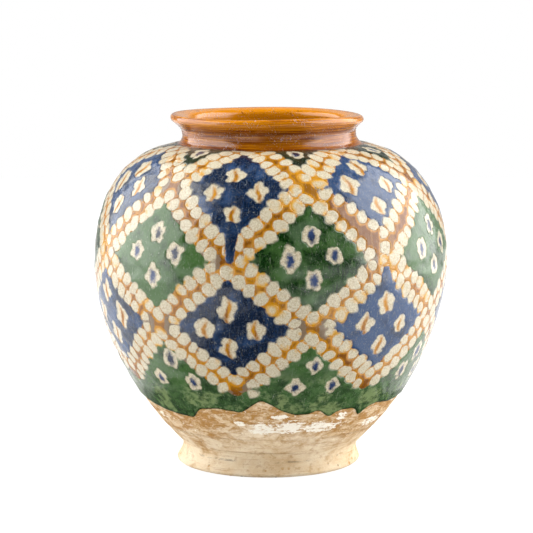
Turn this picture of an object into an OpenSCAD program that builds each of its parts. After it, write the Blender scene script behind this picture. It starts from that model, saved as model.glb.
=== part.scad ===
// A globular three-colour glazed jar: thrown clay sections luted with slip,
// a white slip coat, and lead glazes laid in a seven-column lozenge diaper.
// Millimetres, +Z up, origin at the centre of the foot's resting face.

/* [Overall] */
// Height from the resting face to the crest of the lip
jar_h = 210; // [204:1:216]
// Greatest diameter over the glaze, at the belly
belly_d = 212; // [204:1:220]
// Height of the belly's widest ring
belly_z = 123; // [118:1:128]
// Height at which the shoulder runs level into the neck
shoulder_z = 192.5; // [190:0.5:194]

/* [Foot] */
// Diameter of the splayed foot where it rests
foot_d = 110.8; // [108:0.2:114]
// Diameter of the crease above the foot
waist_d = 104; // [100:1:106]
// Height of that crease
waist_z = 11.5; // [10:0.5:13]
// Diameter of the floor slab inside the foot ring
floor_d = 80; // [74:1:82]
// Top of the floor slab
floor_z = 10; // [8:0.5:10]
// How far the slab is set up from the resting face
floor_recess = 1; // [0.5:0.5:2]

/* [Neck and lip] */
// Outside diameter over the glaze of the neck at its narrowest
neck_d = 104; // [103:0.2:105]
// Outside diameter over the glaze of the rolled lip
lip_d = 115.4; // [114:0.2:118]
// Radius of the lip's roll over the glaze
lip_roll = 2.4; // [2.2:0.1:2.8]
// Clear diameter of the glazed throat
throat_d = 94; // [92:0.5:95]
// Height at which the throat rounds over into the lip
throat_top = 207; // [206:0.5:207.5]

/* [Walls and coats] */
// Wall thickness above the foot
wall_low = 8; // [7:0.5:9]
// Wall thickness at the shoulder
wall_high = 6; // [5:0.5:6.5]
// Thickness of the white slip coat
slip_t = 0.3; // [0.2:0.1:0.4]
// Thickness of the glazes
glaze_t = 0.5; // [0.4:0.1:0.6]
// Thickness of the luting slip in a joint
lute_t = 0.6; // [0.4:0.1:0.8]

/* [Diaper] */
// Lozenges in one row round the jar
columns = 7; // [6:1:8]
// Azimuth of the first blue column, from +X
blue_azimuth = 257; // [0:1:359]
// Width of the amber band between two lozenges
band_w = 14; // [12:0.5:16]

/* [Hidden] */
$fn = 96;
STEPS = 18;             // straight stretches in each half of the wall's outline
coat = slip_t + glaze_t;
eps = 0.01;

// The clay's outline, from the waist over the belly to the neck's root.
waist = [waist_d / 2, waist_z];
belly = [belly_d / 2 - coat, belly_z];
root_r = neck_d / 2 + 1.8;               // edge of the hole that the neck stands in
root = [root_r, shoulder_z - coat];
lower_pull = 0.43;                       // length of the curve's handles, as shares of its rise
belly_pull = 0.33;
upper_pull = 0.64;
shoulder_pull = 0.48;
LOWER = [waist,
         waist + lower_pull * (belly_z - waist_z) * [0.68, 0.66],
         belly - belly_pull * (belly_z - waist_z) * [0, 1],
         belly];
UPPER = [belly,
         belly + upper_pull * (shoulder_z - belly_z) * [0, 1],
         root + shoulder_pull * (belly[0] - root_r) * [1, 0],
         root];

function bezier(p, t) = pow(1 - t, 3) * p[0] + 3 * pow(1 - t, 2) * t * p[1]
    + 3 * (1 - t) * t * t * p[2] + pow(t, 3) * p[3];
function heading(p, t) = pow(1 - t, 2) * (p[1] - p[0]) + 2 * (1 - t) * t * (p[2] - p[1])
    + t * t * (p[3] - p[2]);
function unit(v) = v / norm(v);

// u runs from 0 at the waist, through 1 at the belly, to 2 at the neck's root.
function half_of(u) = u <= 1 ? LOWER : UPPER;
function share_of(u) = u <= 1 ? u : u - 1;
function along(u) = unit(heading(half_of(u), share_of(u)));
function out_of(u) = [along(u)[1], -along(u)[0]];
function at(u, off) = bezier(half_of(u), share_of(u)) + off * out_of(u);
function wall_t(u) = wall_low + (wall_high - wall_low) * u / 2;

// The stations between two values of u, both ends included, on one common grid.
function stations(a, b) = concat(
    [a],
    [for (i = [0 : 2 * STEPS]) if (i / STEPS > a + eps && i / STEPS < b - eps) i / STEPS],
    [b]);
function reversed(list) = [for (i = [len(list) - 1 : -1 : 0]) list[i]];

// A revolved skin between two offsets from the clay's face.
module skin(a, b, low, high) {
    run = stations(a, b);
    rotate_extrude()
        polygon(concat([for (u = run) at(u, high)], [for (u = reversed(run)) at(u, low)]));
}

// A revolved length of wall, whose ends may slope through the wall as a scarf.
module wall(out_a, out_b, in_a, in_b) {
    rotate_extrude()
        polygon(concat([for (u = stations(out_a, out_b)) at(u, 0)],
                       [for (u = reversed(stations(in_a, in_b))) at(u, -wall_t(u))]));
}

// Places where the sections meet, as values of u, outside and inside the wall.
foot_joint = 0.01;
belly_out = 0.96;
belly_in = 1.03;
belly_joint = 0.01;

// Arc length from the waist in millimetres, and the u at a given arc length.
FINE = 120;
LENGTHS = [for (i = 0, sum = 0; i <= FINE; i = i + 1,
                sum = sum + norm(at(2 * min(i, FINE) / FINE, 0) - at(2 * (i - 1) / FINE, 0))) sum];
function u_at(s) = lookup(s, [for (i = [0 : FINE]) [LENGTHS[i], 2 * i / FINE]]);

// Arc lengths of the lattice's crossings, from the apron up to the neck.
ROWS = [62, 101, 138, 181, 219];
cut_rise = 38;                            // a cut-off lozenge's reach past its widest row
glaze_top_s = 221;                        // the lozenges end here, below the neck's root
glaze_edge_s = 48;                        // lower edge of the glaze between its runs
apron_ring_s = 58;                        // below this the green runs right round
slip_edge_s = 28;                         // lower edge of the white slip coat
tip_trim = 0.68 * band_w;                 // from a crossing to the tip of a lozenge, up the side
side_trim = 0.76 * band_w;                // and round the jar
edge_u = u_at(glaze_edge_s);
ring_u = u_at(apron_ring_s);

// Runs of green glaze below that edge: [azimuth from the first blue column, width, lowest s].
RUNS = [[-31, 30, 38], [0, 24, 43], [25, 15, 41], [39, 13, 37], [56, 7, 35], [78, 26, 41],
        [104, 16, 38], [127, 28, 42], [150, 12, 36], [172, 22, 40], [196, 10, 34],
        [214, 26, 42], [243, 18, 37], [266, 12, 40], [289, 24, 38], [309, 9, 36]];

// A radial prism that cuts one lozenge out of a skin.
function point3(azimuth, s) = let (p = at(u_at(s), coat), a = azimuth)
    [p[0] * cos(a), p[0] * sin(a), p[1]];
function on_plane(p, c, tilt) = let (d = p - c)
    [d[1], -d[0] * sin(tilt) + d[2] * cos(tilt)];
module lozenge_prism(low_s, mid_s, high_s, azimuth, depth = 18) {
    side = 180 / columns;
    trim_a = side_trim / at(u_at(mid_s), coat)[0] * 180 / PI;
    foot_s = low_s + tip_trim;
    top_s = min(high_s - tip_trim, glaze_top_s);
    heart_s = (low_s + high_s) / 2;
    c = point3(0, heart_s);
    tilt = atan2(along(u_at(heart_s))[1], -along(u_at(heart_s))[0]);
    lean = 90 - tilt;
    outline = [
        on_plane(point3(0, foot_s), c, lean),
        on_plane(point3((side - trim_a) / 2, (foot_s + mid_s) / 2), c, lean),
        on_plane(point3(side - trim_a, mid_s), c, lean),
        on_plane(point3((side - trim_a) / 2, (top_s + mid_s) / 2), c, lean),
        on_plane(point3(0, top_s), c, lean),
        on_plane(point3(-(side - trim_a) / 2, (top_s + mid_s) / 2), c, lean),
        on_plane(point3(-(side - trim_a), mid_s), c, lean),
        on_plane(point3(-(side - trim_a) / 2, (foot_s + mid_s) / 2), c, lean)];
    rotate([0, 0, azimuth])
        translate(c)
            rotate([0, -lean, 0])
                rotate([90, 0, 90])
                    linear_extrude(height = 2 * depth, center = true)
                        polygon(outline);
}

// One row of lozenge prisms, centred on the blue columns or on the green ones between them.
module lozenge_row(low, mid, high, blue) {
    for (k = [0 : columns - 1])
        lozenge_prism(low, mid, high,
                      blue_azimuth + (k + (blue ? 0 : 0.5)) * 360 / columns);
}
module blue_shoulder_row() lozenge_row(ROWS[2], ROWS[3], ROWS[4], true);
module blue_belly_row() lozenge_row(ROWS[0], ROWS[1], ROWS[2], true);
module green_neck_row() lozenge_row(ROWS[3], ROWS[4], ROWS[4] + cut_rise, false);
module green_middle_row() lozenge_row(ROWS[1], ROWS[2], ROWS[3], false);
module apron_row() lozenge_row(apron_ring_s - cut_rise, apron_ring_s, ROWS[1], false);

module glaze_skin(a, b) skin(a, b, slip_t, coat);

// A round-ended radial prism that cuts one run of glaze out of a skin.
module run_prism(azimuth, width, low_s, depth = 12) {
    c = point3(0, low_s);
    lean = 90 - atan2(along(edge_u)[1], -along(edge_u)[0]);
    rotate([0, 0, azimuth])
        translate(c)
            rotate([0, -lean, 0])
                rotate([90, 0, 90])
                    linear_extrude(height = 2 * depth, center = true)
                        intersection() {
                            translate([0, width * 0.7]) circle(r = width * 0.7);
                            translate([-width / 2, 0]) square([width, 30]);
                        }
}

module base_disc() {
    color("tan")
        translate([0, 0, floor_recess])
            cylinder(d = floor_d, h = floor_z - floor_recess);
}

module foot_ring() {
    inner = at(0, -wall_t(0));
    color("tan")
        rotate_extrude()
            polygon([
                [floor_d / 2 + lute_t, 0],
                [foot_d / 2 - 1.2, 0],
                [foot_d / 2, 1],
                [foot_d / 2 - 0.5, waist_z * 0.25],
                [foot_d / 2 - 1.6, waist_z * 0.5],
                [waist_d / 2 + 0.5, waist_z * 0.8],
                waist,
                inner,
                [inner[0] - 2.5, inner[1] - 4],
                [floor_d / 2 + lute_t, floor_z]]);
}

module lower_wall() {
    color("tan") wall(foot_joint, belly_out, foot_joint, belly_in);
}

module upper_wall() {
    color("tan") wall(belly_out + belly_joint, 2, belly_in + belly_joint, 2);
}

// The neck ring stands in the shoulder's hole and ends in a rolled lip.
module neck_collar() {
    roll = lip_roll - glaze_t;
    throat_r = throat_d / 2 + glaze_t;
    low_z = shoulder_z - coat - wall_high;
    spigot_r = root_r - lute_t;
    color("tan")
        rotate_extrude()
            polygon(concat(
                [[throat_r, low_z], [spigot_r, low_z], [spigot_r, root[1]]],
                neck_side(0),
                lip_arc(roll),
                mouth_side(0)));
}

// The neck's outer side above its root, the lip's roll up to its crest, and the slope from there
// down to the throat's edge, at a thickness of coat.
function neck_side(t) = [
    [neck_d / 2 - glaze_t + t, shoulder_z + 3.5],
    [neck_d / 2 - glaze_t + t, shoulder_z + 7.5],
    [neck_d / 2 + 0.8 - glaze_t + t, shoulder_z + 9.5 - t / 2],
    [neck_d / 2 + 2.2 - glaze_t + t, shoulder_z + 11.2 - t / 2]];
function lip_arc(roll) = [for (a = [-50 : 20 : 90])
    [lip_d / 2 - lip_roll + roll * cos(a), jar_h - lip_roll + roll * sin(a)]];
function mouth_side(t) = [
    [throat_d / 2 + 1.5 + glaze_t - t, throat_top + 1.2 - glaze_t + t],
    [throat_d / 2 + glaze_t - t, throat_top - glaze_t + t]];

module base_seam_slip() {
    color("wheat")
        translate([0, 0, floor_recess])
            difference() {
                cylinder(d = floor_d + 2 * lute_t, h = floor_z - floor_recess);
                translate([0, 0, -1]) cylinder(d = floor_d, h = floor_z + 2);
            }
}

module foot_seam_slip() {
    color("wheat") wall(0, foot_joint, 0, foot_joint);
}

module belly_seam_slip() {
    color("wheat")
        rotate_extrude()
            polygon([at(belly_out, 0), at(belly_out + belly_joint, 0),
                     at(1, 0) + [-wall_t(1) / 2, 0] + [0, 1],
                     at(belly_in + belly_joint, -wall_t(belly_in + belly_joint)),
                     at(belly_in, -wall_t(belly_in))]);
}

module neck_seam_slip() {
    color("wheat")
        translate([0, 0, shoulder_z - coat - wall_high])
            difference() {
                cylinder(r = root_r, h = wall_high);
                translate([0, 0, -1]) cylinder(r = root_r - lute_t, h = wall_high + 2);
            }
}

module white_slip_coat() {
    color("ivory") skin(u_at(slip_edge_s), 2, 0, slip_t);
}

module amber_lattice_glaze() {
    color("peru")
        difference() {
            glaze_skin(ring_u, 2);
            blue_shoulder_row();
            blue_belly_row();
            green_neck_row();
            green_middle_row();
            apron_row();
        }
}

module blue_shoulder_lozenges() {
    color("darkslateblue")
        intersection() {
            glaze_skin(u_at(ROWS[2]), 2);
            blue_shoulder_row();
        }
}

module blue_belly_lozenges() {
    color("darkslateblue")
        intersection() {
            glaze_skin(ring_u, u_at(ROWS[2]));
            blue_belly_row();
        }
}

module green_neck_lozenges() {
    color("darkgreen")
        intersection() {
            glaze_skin(u_at(ROWS[3]), 2);
            green_neck_row();
        }
}

module green_middle_lozenges() {
    color("seagreen")
        intersection() {
            glaze_skin(u_at(ROWS[1]), u_at(ROWS[3]));
            green_middle_row();
        }
}

module green_apron_glaze() {
    color("seagreen") {
        glaze_skin(edge_u, ring_u);
        intersection() {
            glaze_skin(ring_u, u_at(ROWS[1]));
            apron_row();
        }
        intersection() {
            glaze_skin(u_at(slip_edge_s), edge_u);
            for (run = RUNS) run_prism(blue_azimuth + run[0], run[1], run[2]);
        }
    }
}

module amber_neck_glaze() {
    color("chocolate")
        rotate_extrude()
            polygon(concat(
                [[root_r - lute_t, root[1]], [root_r, root[1]], at(2, coat)],
                neck_side(glaze_t),
                lip_arc(lip_roll),
                reversed(lip_arc(lip_roll - glaze_t)),
                reversed(neck_side(0))));
}

module amber_mouth_glaze() {
    throat_r = throat_d / 2;
    low_z = shoulder_z - coat - wall_high;
    lip_end = lip_arc(lip_roll)[len(lip_arc(lip_roll)) - 1];
    clay_end = lip_arc(lip_roll - glaze_t)[len(lip_arc(lip_roll)) - 1];
    color("chocolate")
        rotate_extrude()
            polygon(concat(
                [[throat_r, low_z], [throat_r + glaze_t, low_z]],
                reversed(mouth_side(0)),
                [clay_end, lip_end],
                mouth_side(glaze_t)));
}

base_disc();
foot_ring();
lower_wall();
upper_wall();
neck_collar();
base_seam_slip();
foot_seam_slip();
belly_seam_slip();
neck_seam_slip();
white_slip_coat();
amber_lattice_glaze();
blue_shoulder_lozenges();
blue_belly_lozenges();
green_neck_lozenges();
green_middle_lozenges();
green_apron_glaze();
amber_neck_glaze();
amber_mouth_glaze();
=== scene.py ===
"""The looks of a three-colour glazed jar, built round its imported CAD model.

Lengths are in millimetres until a mesh is made. A place on the body is (turn, s): the angle in degrees
from the photographed side, positive to the right, and the arc length up the clay's outline from the waist.
"""
import functools
import math

import bpy
import numpy as np
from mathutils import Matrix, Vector


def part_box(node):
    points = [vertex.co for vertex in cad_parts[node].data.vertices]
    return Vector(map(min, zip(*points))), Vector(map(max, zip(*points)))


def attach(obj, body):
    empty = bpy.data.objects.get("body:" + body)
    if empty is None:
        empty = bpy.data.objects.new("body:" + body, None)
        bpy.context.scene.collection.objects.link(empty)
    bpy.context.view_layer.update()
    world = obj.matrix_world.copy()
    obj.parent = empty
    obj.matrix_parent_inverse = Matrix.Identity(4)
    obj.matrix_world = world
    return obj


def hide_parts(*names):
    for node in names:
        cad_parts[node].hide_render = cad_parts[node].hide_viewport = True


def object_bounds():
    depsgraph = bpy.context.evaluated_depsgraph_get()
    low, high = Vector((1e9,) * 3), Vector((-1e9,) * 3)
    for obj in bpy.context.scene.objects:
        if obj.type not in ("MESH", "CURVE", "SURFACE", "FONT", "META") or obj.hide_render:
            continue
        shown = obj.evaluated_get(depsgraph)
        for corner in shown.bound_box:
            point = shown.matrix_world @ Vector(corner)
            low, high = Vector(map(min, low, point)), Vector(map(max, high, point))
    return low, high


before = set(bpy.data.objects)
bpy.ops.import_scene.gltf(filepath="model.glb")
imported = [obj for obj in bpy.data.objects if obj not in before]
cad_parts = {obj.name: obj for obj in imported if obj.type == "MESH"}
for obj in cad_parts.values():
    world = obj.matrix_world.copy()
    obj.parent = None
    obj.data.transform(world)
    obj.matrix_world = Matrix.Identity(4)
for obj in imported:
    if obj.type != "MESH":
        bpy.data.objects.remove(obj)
cad_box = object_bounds()
MM = 0.001


# ---- sizes, from the frame

def corner(node, high, axis):
    """One coordinate of a CAD node's box, in millimetres."""
    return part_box(node)[high][axis] / MM


X, Z = 0, 2
SLIP, GLAZE, COAT = 0.3, 0.5, 0.8  # thicknesses of the slip, the glaze and both
LUTE = 0.6  # luting slip round the neck's spigot
TOP_Z = corner("amber_neck_glaze", True, Z)  # crest of the lip
LIP_R = corner("amber_neck_glaze", True, X)  # outside of the lip
FOOT_R = corner("foot_ring", True, X)
FLOOR_R = corner("base_disc", True, X)
FLOOR_Z = corner("base_disc", True, Z)
RECESS = corner("base_disc", False, Z)
THROAT_LOW = corner("neck_collar", False, Z)  # foot of the neck ring inside the shoulder
WAIST_R, WAIST_Z = 52.0, corner("foot_seam_slip", False, Z)
BELLY_R, BELLY_Z = cad_box[1].x / MM - COAT, 123.0
ROOT_R, ROOT_Z = corner("neck_seam_slip", True, X), corner("white_slip_coat", True, Z) - SLIP
THROAT_R = 47.0  # glazed throat
THROAT_TOP = 207.0  # where the throat rounds over into the lip
LIP_ROLL = 2.4  # radius of the lip's roll
WALL_LOW, WALL_HIGH = 8.0, 6.0  # thickness of the wall at the foot and at the neck
COLUMNS = 7  # of each colour
FIRST_BLUE = -13.0  # turn of the blue column that faces the camera


# ---- the clay's outline, as in the CAD

def bezier(points, t):
    a, b, c, d = (np.asarray(p, float)[:, None] for p in points)
    return (1 - t) ** 3 * a + 3 * (1 - t) ** 2 * t * b + 3 * (1 - t) * t * t * c + t ** 3 * d


def outline_curve():
    """The outline as dense (r, z) rows from the waist over the belly to the neck's root."""
    rise, drop = BELLY_Z - WAIST_Z, ROOT_Z - BELLY_Z
    lower = [(WAIST_R, WAIST_Z), (WAIST_R + 0.43 * rise * 0.68, WAIST_Z + 0.43 * rise * 0.66),
             (BELLY_R, BELLY_Z - 0.33 * rise), (BELLY_R, BELLY_Z)]
    upper = [(BELLY_R, BELLY_Z), (BELLY_R, BELLY_Z + 0.64 * drop),
             (ROOT_R + 0.48 * (BELLY_R - ROOT_R), ROOT_Z), (ROOT_R, ROOT_Z)]
    t = np.linspace(0, 1, CURVE_STEPS)
    return np.hstack([bezier(lower, t), bezier(upper, t)[:, 1:]]).T


CURVE_STEPS = 400  # points from the waist to the belly, and above it
CURVE = outline_curve()
ALONG = np.gradient(CURVE, axis=0)
ALONG /= np.linalg.norm(ALONG, axis=1)[:, None]
ARC = np.concatenate([[0], np.cumsum(np.linalg.norm(np.diff(CURVE, axis=0), axis=1))])
TOP_S = ARC[-1]
BELLY_S = ARC[CURVE_STEPS - 1]


def radius(s):
    return np.interp(s, ARC, CURVE[:, 0])


def outline(s, lift):
    """(r, z) at arc length s, lifted off the clay along the outward normal."""
    r, z, along_r, along_z = (np.interp(s, ARC, c) for c in (*CURVE.T, *ALONG.T))
    return r + lift * along_z, z - lift * along_r


def unit(value):
    """A value kept between nought and one."""
    return np.clip(value, 0, 1)


def ladder(low, high, step):
    return np.linspace(low, high, int((high - low) / step) + 1)


# ---- small seeded variations

def ripple(turn, s, seed, cycles, lengths, count=14):
    """A smooth random field of about unit size, periodic round the jar."""
    rng = np.random.default_rng(seed)
    total = 0
    for _ in range(count):
        k = rng.integers(cycles[0], cycles[1] + 1) * rng.choice((-1, 1))
        phase = s * 2 * np.pi / rng.uniform(*lengths) + rng.uniform(0, 6.3)
        total = total + np.cos(np.radians(turn) * k + phase)
    return total * math.sqrt(2 / count)


def sway(turn, s):
    """How far the thrown body strays from a true round, all its layers alike."""
    thrown = 0.07 * ripple(turn, s, 1, (0, 1), (9, 16), 8)
    beaten = 0.3 * ripple(turn, s, 2, (2, 5), (70, 160), 8)
    return (thrown + beaten) * unit(s / 12) * unit((TOP_S - s) / 10)


def lean(z):
    """How far the hand-thrown neck leans to the photographed left, growing up to the lip."""
    return -2.4 * unit((z - ROOT_Z) / (TOP_Z - ROOT_Z))


def around(turn, r, z):
    """Cartesian coordinates of a place round the axis."""
    a = np.radians(turn)
    return np.stack([r * np.sin(a), -r * np.cos(a), z], -1)


def body_points(turn, s, lift):
    """Points of the body in metres."""
    r, z = outline(s, lift + sway(turn, s))
    return around(turn, r, z) * MM


# ---- mesh and node helpers

def add_object(name, data):
    made = bpy.data.objects.new(name, data)
    bpy.context.scene.collection.objects.link(made)
    return made


def mesh_piece(name, points, triangles=(), quads=(), flat_quads=0, fields=None):
    """A mesh object. The last flat_quads quads are flat shaded. fields are named point attributes."""
    faces = [*np.asarray(triangles).tolist(), *np.asarray(quads).tolist()]
    mesh = bpy.data.meshes.new(name)
    mesh.from_pydata(np.asarray(points).tolist(), [], faces)
    mesh.polygons.foreach_set("use_smooth", np.arange(len(faces)) < len(faces) - flat_quads)
    for key, values in (fields or {}).items():
        layer = mesh.attributes.new(key, "FLOAT_VECTOR", "POINT")
        layer.data.foreach_set("vector", np.asarray(values, np.float32).ravel())
    mesh.validate()
    return add_object(name, mesh)


def net(steps, rows, closed=True):
    """Quads of a net round the axis. Where closed, its last row is joined to its first."""
    i, j = np.meshgrid(np.arange(steps), np.arange(rows if closed else rows - 1), indexing="ij")
    i2, j2 = (i + 1) % steps, (j + 1) % rows
    return np.stack([i * rows + j, i2 * rows + j, i2 * rows + j2, i * rows + j2], -1).reshape(-1, 4)


def lathe(name, loop, place, fields):
    """A closed ring: the loop of (r, z), turned counter-clockwise, with place(turn, r, z) giving points."""
    turns, r = np.meshgrid(np.arange(AROUND) * 360 / AROUND, loop[:, 0], indexing="ij")
    z = np.broadcast_to(loop[:, 1], r.shape)
    points = place(turns, r, z).reshape(-1, 3)
    made = {key: f(turns, r, z) for key, f in fields.items()}
    return mesh_piece(name, points, quads=net(AROUND, len(loop)), fields=made)


def node_math(operation):
    return lambda wire, other=None: wire.shade.math(operation, wire, other)


class Wire:
    """A node's output, with arithmetic."""

    __add__, __sub__, __mul__ = node_math("ADD"), node_math("SUBTRACT"), node_math("MULTIPLY")
    __truediv__, __abs__ = node_math("DIVIDE"), node_math("ABSOLUTE")

    def __init__(self, shade, socket):
        self.shade, self.socket = shade, socket

    def ramp(self, low, high, to_low=0.0, to_high=1.0, kind="SMOOTHSTEP"):
        """A step of the value from low to high."""
        return self.shade.out("ShaderNodeMapRange", "Result", {
            "Value": self, "From Min": low, "From Max": high, "To Min": to_low, "To Max": to_high},
            interpolation_type=kind)

    def parts(self):
        """A vector's three numbers."""
        split = self.shade.node("ShaderNodeSeparateXYZ", {0: self})
        return [Wire(self.shade, output) for output in split.outputs]


class Shade:
    """Builds a material's or a world's nodes with short calls."""

    def __init__(self, owner):
        owner.use_nodes = True
        self.owner, self.tree = owner, owner.node_tree
        self.tree.nodes.clear()

    def node(self, kind, inputs=None, **settings):
        made = self.tree.nodes.new(kind)
        for key, value in settings.items():
            setattr(made, key, value)
        for key, value in (inputs or {}).items():
            if isinstance(value, Wire):
                self.tree.links.new(value.socket, made.inputs[key])
            elif value is not None:
                made.inputs[key].default_value = value
        return made

    def out(self, kind, output, inputs=None, **settings):
        return Wire(self, self.node(kind, inputs, **settings).outputs[output])

    def fields(self, name):
        """A vector attribute's three numbers."""
        return self.out("ShaderNodeAttribute", "Vector", attribute_name=name).parts()

    def flow(self, stretch=(1, 1, 1)):
        """The flow field, stretched."""
        attribute = self.out("ShaderNodeAttribute", "Vector", attribute_name="flow")
        return self.out("ShaderNodeMapping", 0, {"Vector": attribute, "Scale": stretch})

    def noise(self, place, scale, detail=4.0, roughness=0.55, distortion=0.0):
        """Noise by place: by coordinates, or by the flow field and how far it is stretched."""
        vector = place if isinstance(place, Wire) else self.flow(place)
        return self.out("ShaderNodeTexNoise", "Fac", {
            "Vector": vector, "Scale": scale, "Detail": detail, "Roughness": roughness,
            "Distortion": distortion})

    def cells(self, scale, feature):
        """Distance to random points, or to the edges of the cells round them."""
        return self.out("ShaderNodeTexVoronoi", "Distance", {"Vector": self.flow(), "Scale": scale},
                        feature=feature)

    def math(self, operation, a, b=None):
        return self.out("ShaderNodeMath", 0, {0: a, 1: b}, operation=operation)

    def mix(self, share, a, b):
        return self.out("ShaderNodeMix", 2, {0: share, 6: a, 7: b}, data_type="RGBA")

    def layered(self, colour, *layers):
        """A colour under layers, each a tone with its share, or with a value and its ramp."""
        for tint, share, *steps in layers:
            colour = self.mix(share.ramp(*steps) if steps else share, colour, tint)
        return colour

    def bump(self, height, distance):
        return self.out("ShaderNodeBump", 0, {"Height": height, "Distance": distance})

    def finish(self, colour, roughness, normal=None, ior=1.5, glow=0.0):
        shader = self.out("ShaderNodeBsdfPrincipled", 0, {
            "Base Color": colour, "Roughness": roughness, "Normal": normal, "IOR": ior,
            "Emission Strength": glow})
        self.node("ShaderNodeOutputMaterial", {"Surface": shader})
        return self.owner


def new_shade(name):
    return Shade(bpy.data.materials.new(name))


def tone(red, green, blue):
    """A display colour, 0 to 255, as linear light."""
    def linear(v):
        v /= 255
        return v / 12.92 if v <= 0.04045 else ((v + 0.055) / 1.055) ** 2.4
    return (linear(red), linear(green), linear(blue), 1.0)


def dress(piece, material, slot, *nodes):
    """Gives a piece its material and body, and hides the CAD nodes that it stands for. slot is not used."""
    piece.data.materials.append(material)
    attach(piece, "root")
    if nodes:
        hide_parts(*nodes)


# ---- the diaper: crossings, lozenges and dots

CROSSINGS = (24, 62, 101, 138, 181, 219, 257)  # arc lengths of the lattice's crossings
STEP = 180 / COLUMNS  # turn between neighbouring columns
BAND_INSET = 4.6  # from the lattice line to the middle of a ring of dots
FIELD_INSET = 6.9  # from the lattice line to the coloured field
DOT_PITCH, DOT_GAP = 7.2, 0.34  # between the middles of two dots, and between their edges
CORNER_GAP = 0.6  # of the pitch, left free at a side corner
DOT_ALONG, DOT_ACROSS = 3.6, 4.15  # half sizes of a dot, along and across the band


def cross(up, across):
    return (0, up), (-across, 0), (across, 0), (0, -up)


# For each kind of lozenge: the number of its lowest crossing, whether it is on the blue columns, and where
# its florets go, to the right of its middle and up.
KINDS = {"blue_shoulder": (3, True, cross(12.5, 13)), "blue_belly": (1, True, cross(12.5, 14)),
         "green_neck": (4, False, ((0, -8),)), "green_middle": (2, False, cross(12.5, 13.5)),
         "green_apron": (0, False, ((0, 15), (-11.5, 1.5), (11.5, 0)))}
# What is known of the lozenges on the photographed side, by kind and number. pale: how much paler than its
# kind one is. bare: the strength of a bare patch at its left and right corner. short: how far it is cut short
# at the bottom, where two more dots fill the gap. shift: how far its florets sit to the right.
KNOWN = {"blue_shoulder": {0: {"pale": -0.9, "bare": (0.9, 0.3)}, 1: {"pale": 1.5, "short": 8},
                           6: {"pale": 0.5, "bare": (0, 0.9)}},
         "blue_belly": {0: {"pale": -1.2, "bare": (1, 1)}, 1: {"pale": 1.3, "bare": (1, 0)},
                        6: {"pale": 0.2}},
         "green_middle": {0: {"pale": -1, "bare": (0, 0.6)}, 1: {"pale": 1},
                          6: {"pale": 0.9, "bare": (0.3, 0.7)}},
         "green_apron": {0: {"pale": 1, "shift": 5}, 1: {"pale": 0.8}, 6: {"pale": 0.6, "shift": 3}}}
# The glaze's lower edge on the photographed side, as (turn, s).
FRONT_EDGE = ((-90, 42), (-75, 41), (-62, 38), (-50, 36), (-36, 35), (-31, 43), (-22, 45), (-12, 43),
              (-8, 48), (-4, 53), (0, 50), (4, 45), (10, 41), (16, 41), (20, 44), (26, 37), (30, 42),
              (37, 42), (40, 40), (42, 34), (45, 40), (50, 43), (62, 41), (75, 42), (90, 40))
# Runs of colour over the dots: kind, turn, top, bottom, width at the top and at the bottom.
RUNS = (("blue_shoulder", -12.6, 166, 140, 13, 5), ("blue_belly", 38.5, 133, 124, 4, 9),
        ("green_middle", 63, 124, 113, 4, 2.6), ("blue_shoulder", 191, 164, 146, 8, 3.4),
        ("green_middle", -90, 124, 112, 4, 2.4), ("blue_shoulder", -116, 162, 150, 7, 3.6),
        ("green_middle", 167, 122, 110, 4.4, 2.6), ("blue_belly", 140, 92, 80, 7, 3))
# Pools where the amber runs golden, as (turn, s, reach), on the photographed side.
GOLD_POOLS = ((-2, 137, 12), (8, 128, 10), (13, 101, 15), (2, 112, 9), (13, 186, 13), (6, 176, 8),
              (-30, 186, 7), (24, 108, 8), (40, 133, 7), (-13, 66, 7), (62, 158, 9), (-66, 140, 8),
              (-40, 98, 7), (30, 92, 6))


def wrapped(turn):
    return (turn + 180) % 360 - 180


def offset(turn, at, s):
    """How far a place is to the right of the turn called at, along the clay."""
    return np.radians(wrapped(turn - at)) * radius(s)


def crossing(row, column):
    """A crossing of the lattice, a little astray as a hand would lay it. Even columns are the blue ones."""
    rng = np.random.default_rng(1000 + 50 * row + column % (2 * COLUMNS))
    astray = rng.uniform(-1, 1, 2)
    return FIRST_BLUE + column * STEP + 0.8 * astray[0], CROSSINGS[row] + 1.1 * astray[1]


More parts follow.
